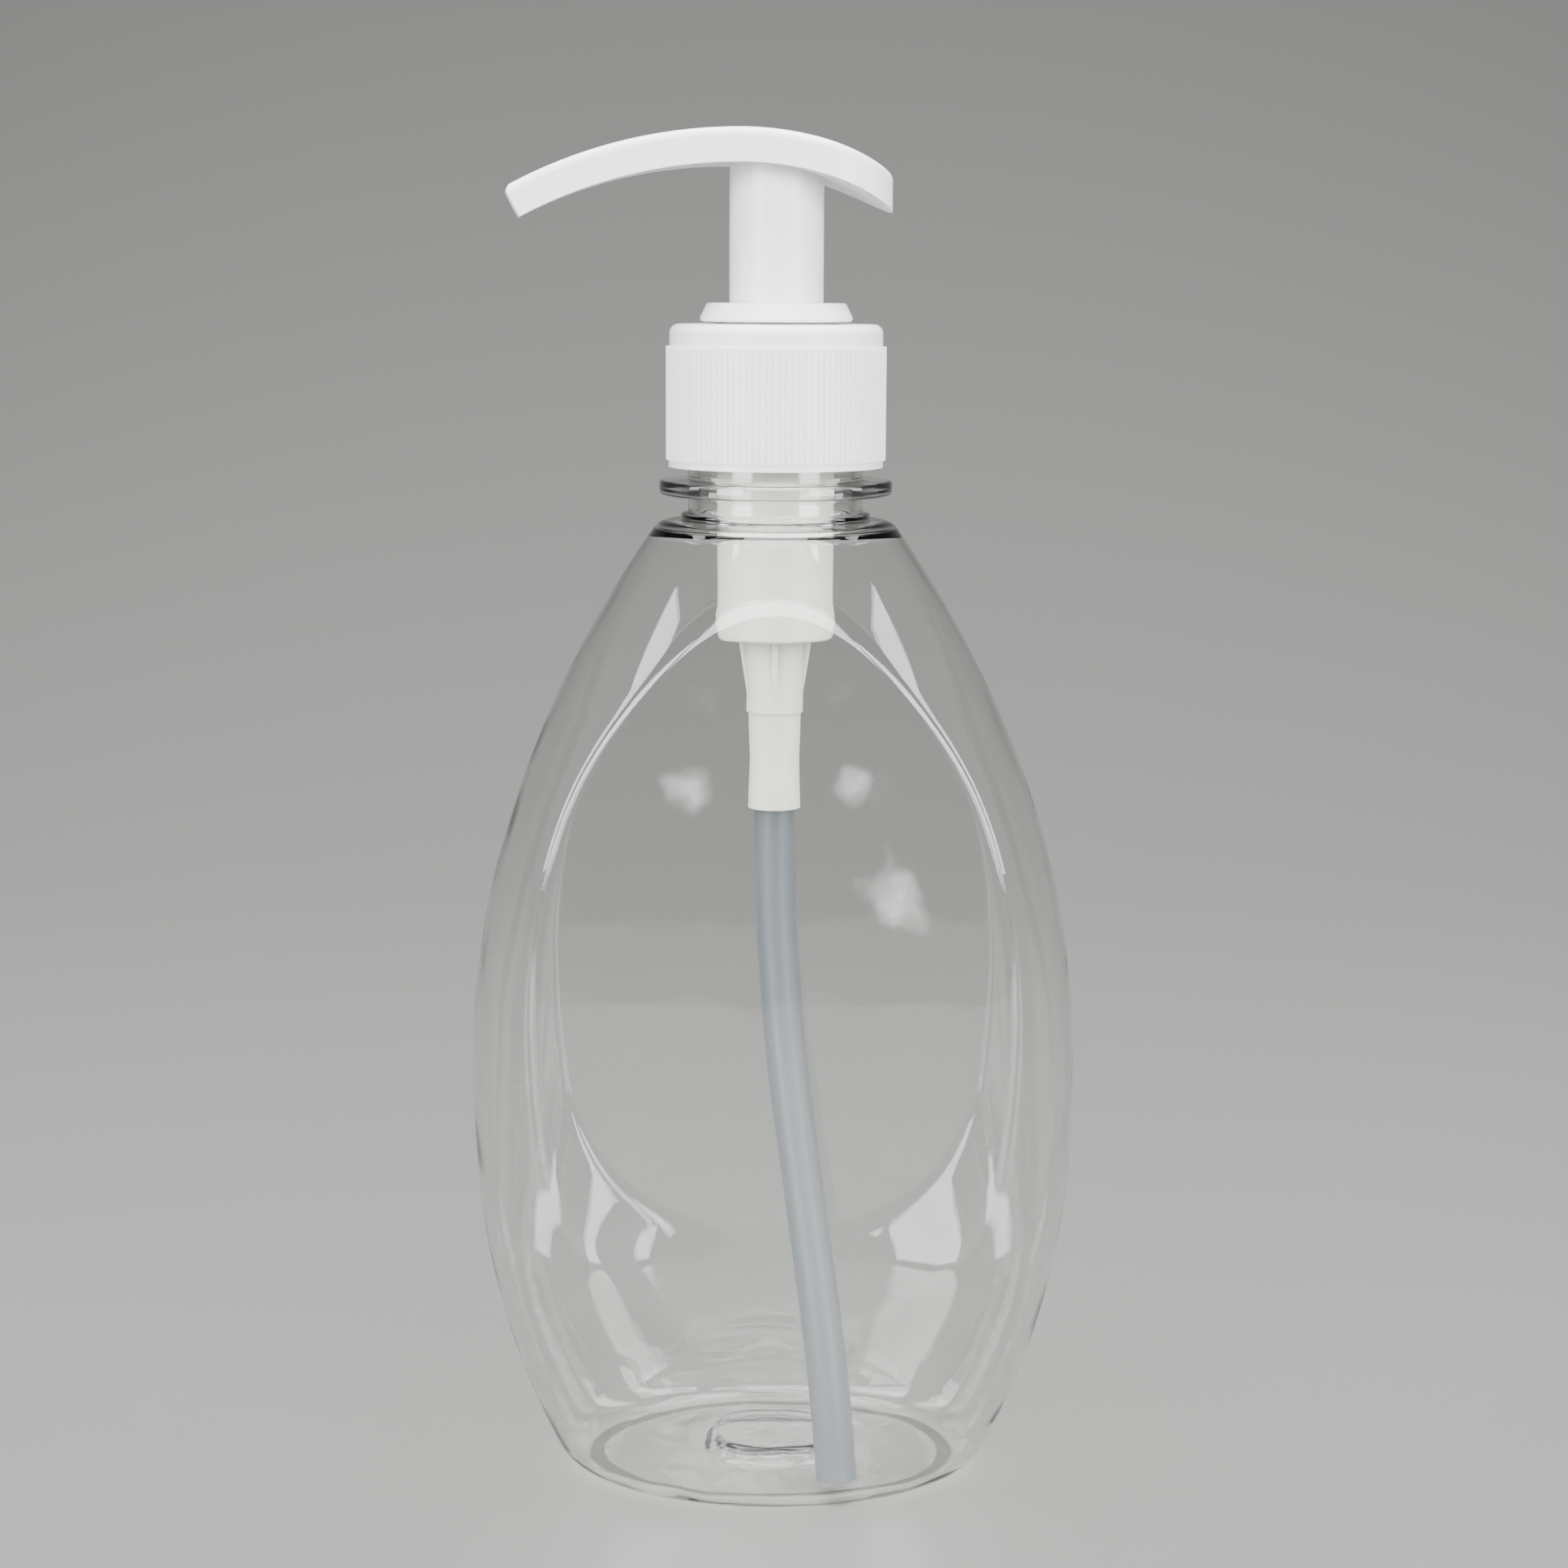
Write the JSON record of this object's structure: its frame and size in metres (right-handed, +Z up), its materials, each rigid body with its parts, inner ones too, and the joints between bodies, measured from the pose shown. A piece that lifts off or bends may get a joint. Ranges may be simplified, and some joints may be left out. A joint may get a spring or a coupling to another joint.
{
  "type": "soap pump dispenser",
  "caption": "Clear oval bottle with flat front and back panels, closed by a white ribbed screw closure with a press-down lotion pump, arched spout and dip tube.",
  "frame": {"origin": "centre of the bottle's base, on the surface it stands on", "axes": "+Z up along the neck and the pump; +X along the bottle's width, away from the spout; +Y through the bottle's thickness, from the front panel to the back panel"},
  "size_m": [0.0874, 0.047, 0.1936],
  "materials": {
    "clear_pet": "clear blow-moulded PET, glossy",
    "white_pp": "opaque white polypropylene, satin gloss",
    "gasket_foam": "soft white sealing disc",
    "natural_pp": "milky natural polypropylene",
    "tube_pe": "translucent bluish polyethylene tube",
    "ball_steel": "polished stainless ball",
    "spring_steel": "stainless spring wire",
    "seal_pe": "soft white polyethylene"
  },
  "bodies": {
    "bottle": {"bottle": "clear_pet"},
    "pump": {"pump_housing": "natural_pp", "collar": "white_pp", "neck_gasket": "gasket_foam", "dip_tube": "tube_pe"},
    "closure": {"closure": "white_pp"},
    "spring_carrier": {"return_spring": "spring_steel"},
    "plunger": {"actuator_head": "white_pp", "stem": "natural_pp", "piston_rod": "natural_pp"},
    "piston": {"piston_seal": "seal_pe"},
    "inlet_valve": {"inlet_ball": "ball_steel"}
  },
  "joints": [
    {"name": "pump_lift", "type": "slide", "parent": "bottle", "child": "pump", "axis": [0, 0, 1], "range_m": [0, 0.00635]},
    {"name": "closure_turn", "type": "hinge", "parent": "pump", "child": "closure", "pos_m": [0, 0, 0.157], "axis": [0, 0, 1], "range_deg": [0, 540]},
    {"name": "nozzle_turn", "type": "hinge", "parent": "pump", "child": "spring_carrier", "pos_m": [0, 0, 0.157], "axis": [0, 0, 1], "continuous": true},
    {"name": "press", "type": "slide", "parent": "spring_carrier", "child": "plunger", "axis": [0, 0, -1], "range_m": [0, 0.014], "stiffness_N_per_m": 400, "springref_m": -0.01, "deforming": ["return_spring"]},
    {"name": "piston_lag", "type": "slide", "parent": "plunger", "child": "piston", "axis": [0, 0, 1], "range_m": [0, 0.001]},
    {"name": "inlet_ball_lift", "type": "slide", "parent": "pump", "child": "inlet_valve", "axis": [0, 0, 1], "range_m": [0, 0.0015]}
  ],
  "couplings": [
    {"joint": "closure_turn", "follows": "pump_lift", "rad_per_m": 1484.3}
  ]
}
